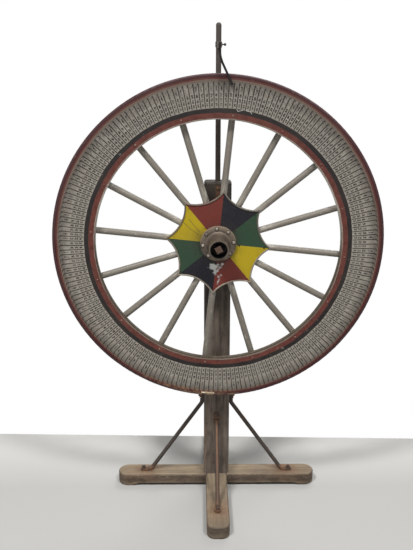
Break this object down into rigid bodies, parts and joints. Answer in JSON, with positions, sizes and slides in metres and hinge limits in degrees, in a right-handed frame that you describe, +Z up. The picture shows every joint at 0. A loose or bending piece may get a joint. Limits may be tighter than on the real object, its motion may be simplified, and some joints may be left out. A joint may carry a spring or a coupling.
{
  "type": "prize wheel on a post stand",
  "caption": "Upright wheel of chance: a pegged, numbered ring on dowel spokes with a star plate and iron hub, on a post with a cross base, iron braces and a leather flapper.",
  "frame": {"origin": "on the floor under the post's axis, at the middle of the cross base", "axes": "+Z up; +X to the right as seen from the front of the wheel; +Y to the back, so the wheel faces -Y"},
  "size_m": [1.121, 0.752, 1.696],
  "materials": {
    "beam_timber": "worn, matt",
    "post_timber": "weathered, matt",
    "forged_iron": "brown rust over black iron",
    "fixings": "rusted",
    "axle_steel": "oily, lightly rusted",
    "hub_iron": "bare grey casting, semi-matt",
    "bush_bronze": "oily bronze",
    "hub_timber": "bare, matt",
    "star_paint": "enamel paint in four colours, worn",
    "nail_steel": "dull steel",
    "spoke_timber": "thin grey paint, worn",
    "face_paint": null,
    "backing_timber": "bare, matt",
    "rim_paint": "dark maroon paint, worn",
    "flapper_leather": "black, matt"
  },
  "bodies": {
    "stand": {"side_beam": "beam_timber", "cross_beam": "beam_timber", "post": "post_timber", "brace_left": "forged_iron", "brace_right": "forged_iron", "brace_front": "forged_iron", "brace_rear": "forged_iron", "brace_studs": "fixings", "brace_washers": "fixings", "brace_nuts": "fixings", "foot_bolts": "fixings", "foot_washers": "fixings", "foot_nuts": "fixings", "axle_bolt": "axle_steel", "axle_nut": "fixings", "post_plates": "fixings", "axle_sleeve": "axle_steel", "nose_spacer": "axle_steel", "retaining_washer": "axle_steel", "rear_spacer": "axle_steel", "pointer_rod": "forged_iron", "rod_bolt": "fixings", "rod_bolt_nut": "fixings"},
    "wheel": {"hub": "hub_iron", "hub_rear_plate": "hub_iron", "front_bush": "bush_bronze", "rear_bush": "bush_bronze", "hub_block": "hub_timber", "back_disc": "hub_timber", "star_plate": "star_paint", "flange_bolts": "hub_iron", "flange_nuts": "hub_iron", "star_screws": "nail_steel", "spoke_01": "spoke_timber", "spoke_02": "spoke_timber", "spoke_03": "spoke_timber", "spoke_04": "spoke_timber", "spoke_05": "spoke_timber", "spoke_06": "spoke_timber", "spoke_07": "spoke_timber", "spoke_08": "spoke_timber", "spoke_09": "spoke_timber", "spoke_10": "spoke_timber", "spoke_11": "spoke_timber", "spoke_12": "spoke_timber", "spoke_13": "spoke_timber", "spoke_14": "spoke_timber", "spoke_15": "spoke_timber", "spoke_16": "spoke_timber", "face_ring": "face_paint", "backing_segments": "backing_timber", "rim_band": "rim_paint", "pins": "nail_steel", "spoke_nails": "nail_steel"},
    "pointer": {"pointer_arm": "forged_iron", "flapper_keeper": "forged_iron", "flapper_rivets": "fixings"},
    "flapper": {"flapper": "flapper_leather"},
    "thumbscrew": {"thumbscrew": "fixings"}
  },
  "joints": [
    {"name": "wheel_spin", "type": "hinge", "parent": "stand", "child": "wheel", "pos_m": [0, 0, 0.98], "axis": [0, 1, 0], "continuous": true},
    {"name": "collar_slide", "type": "slide", "parent": "stand", "child": "pointer", "axis": [0, 0, 1], "range_m": [0, 0.045]},
    {"name": "flapper_flex", "type": "hinge", "parent": "pointer", "child": "flapper", "pos_m": [0, -0.136, 1.618], "axis": [0, 1, 0], "range_deg": [-8.6, 8.6], "stiffness_Nm_per_rad": 0.6, "deforming": ["flapper"]},
    {"name": "thumbscrew_turn", "type": "hinge", "parent": "pointer", "child": "thumbscrew", "pos_m": [0, 0, 1.627], "axis": [1, 0, 0], "range_deg": [0, 720]}
  ]
}
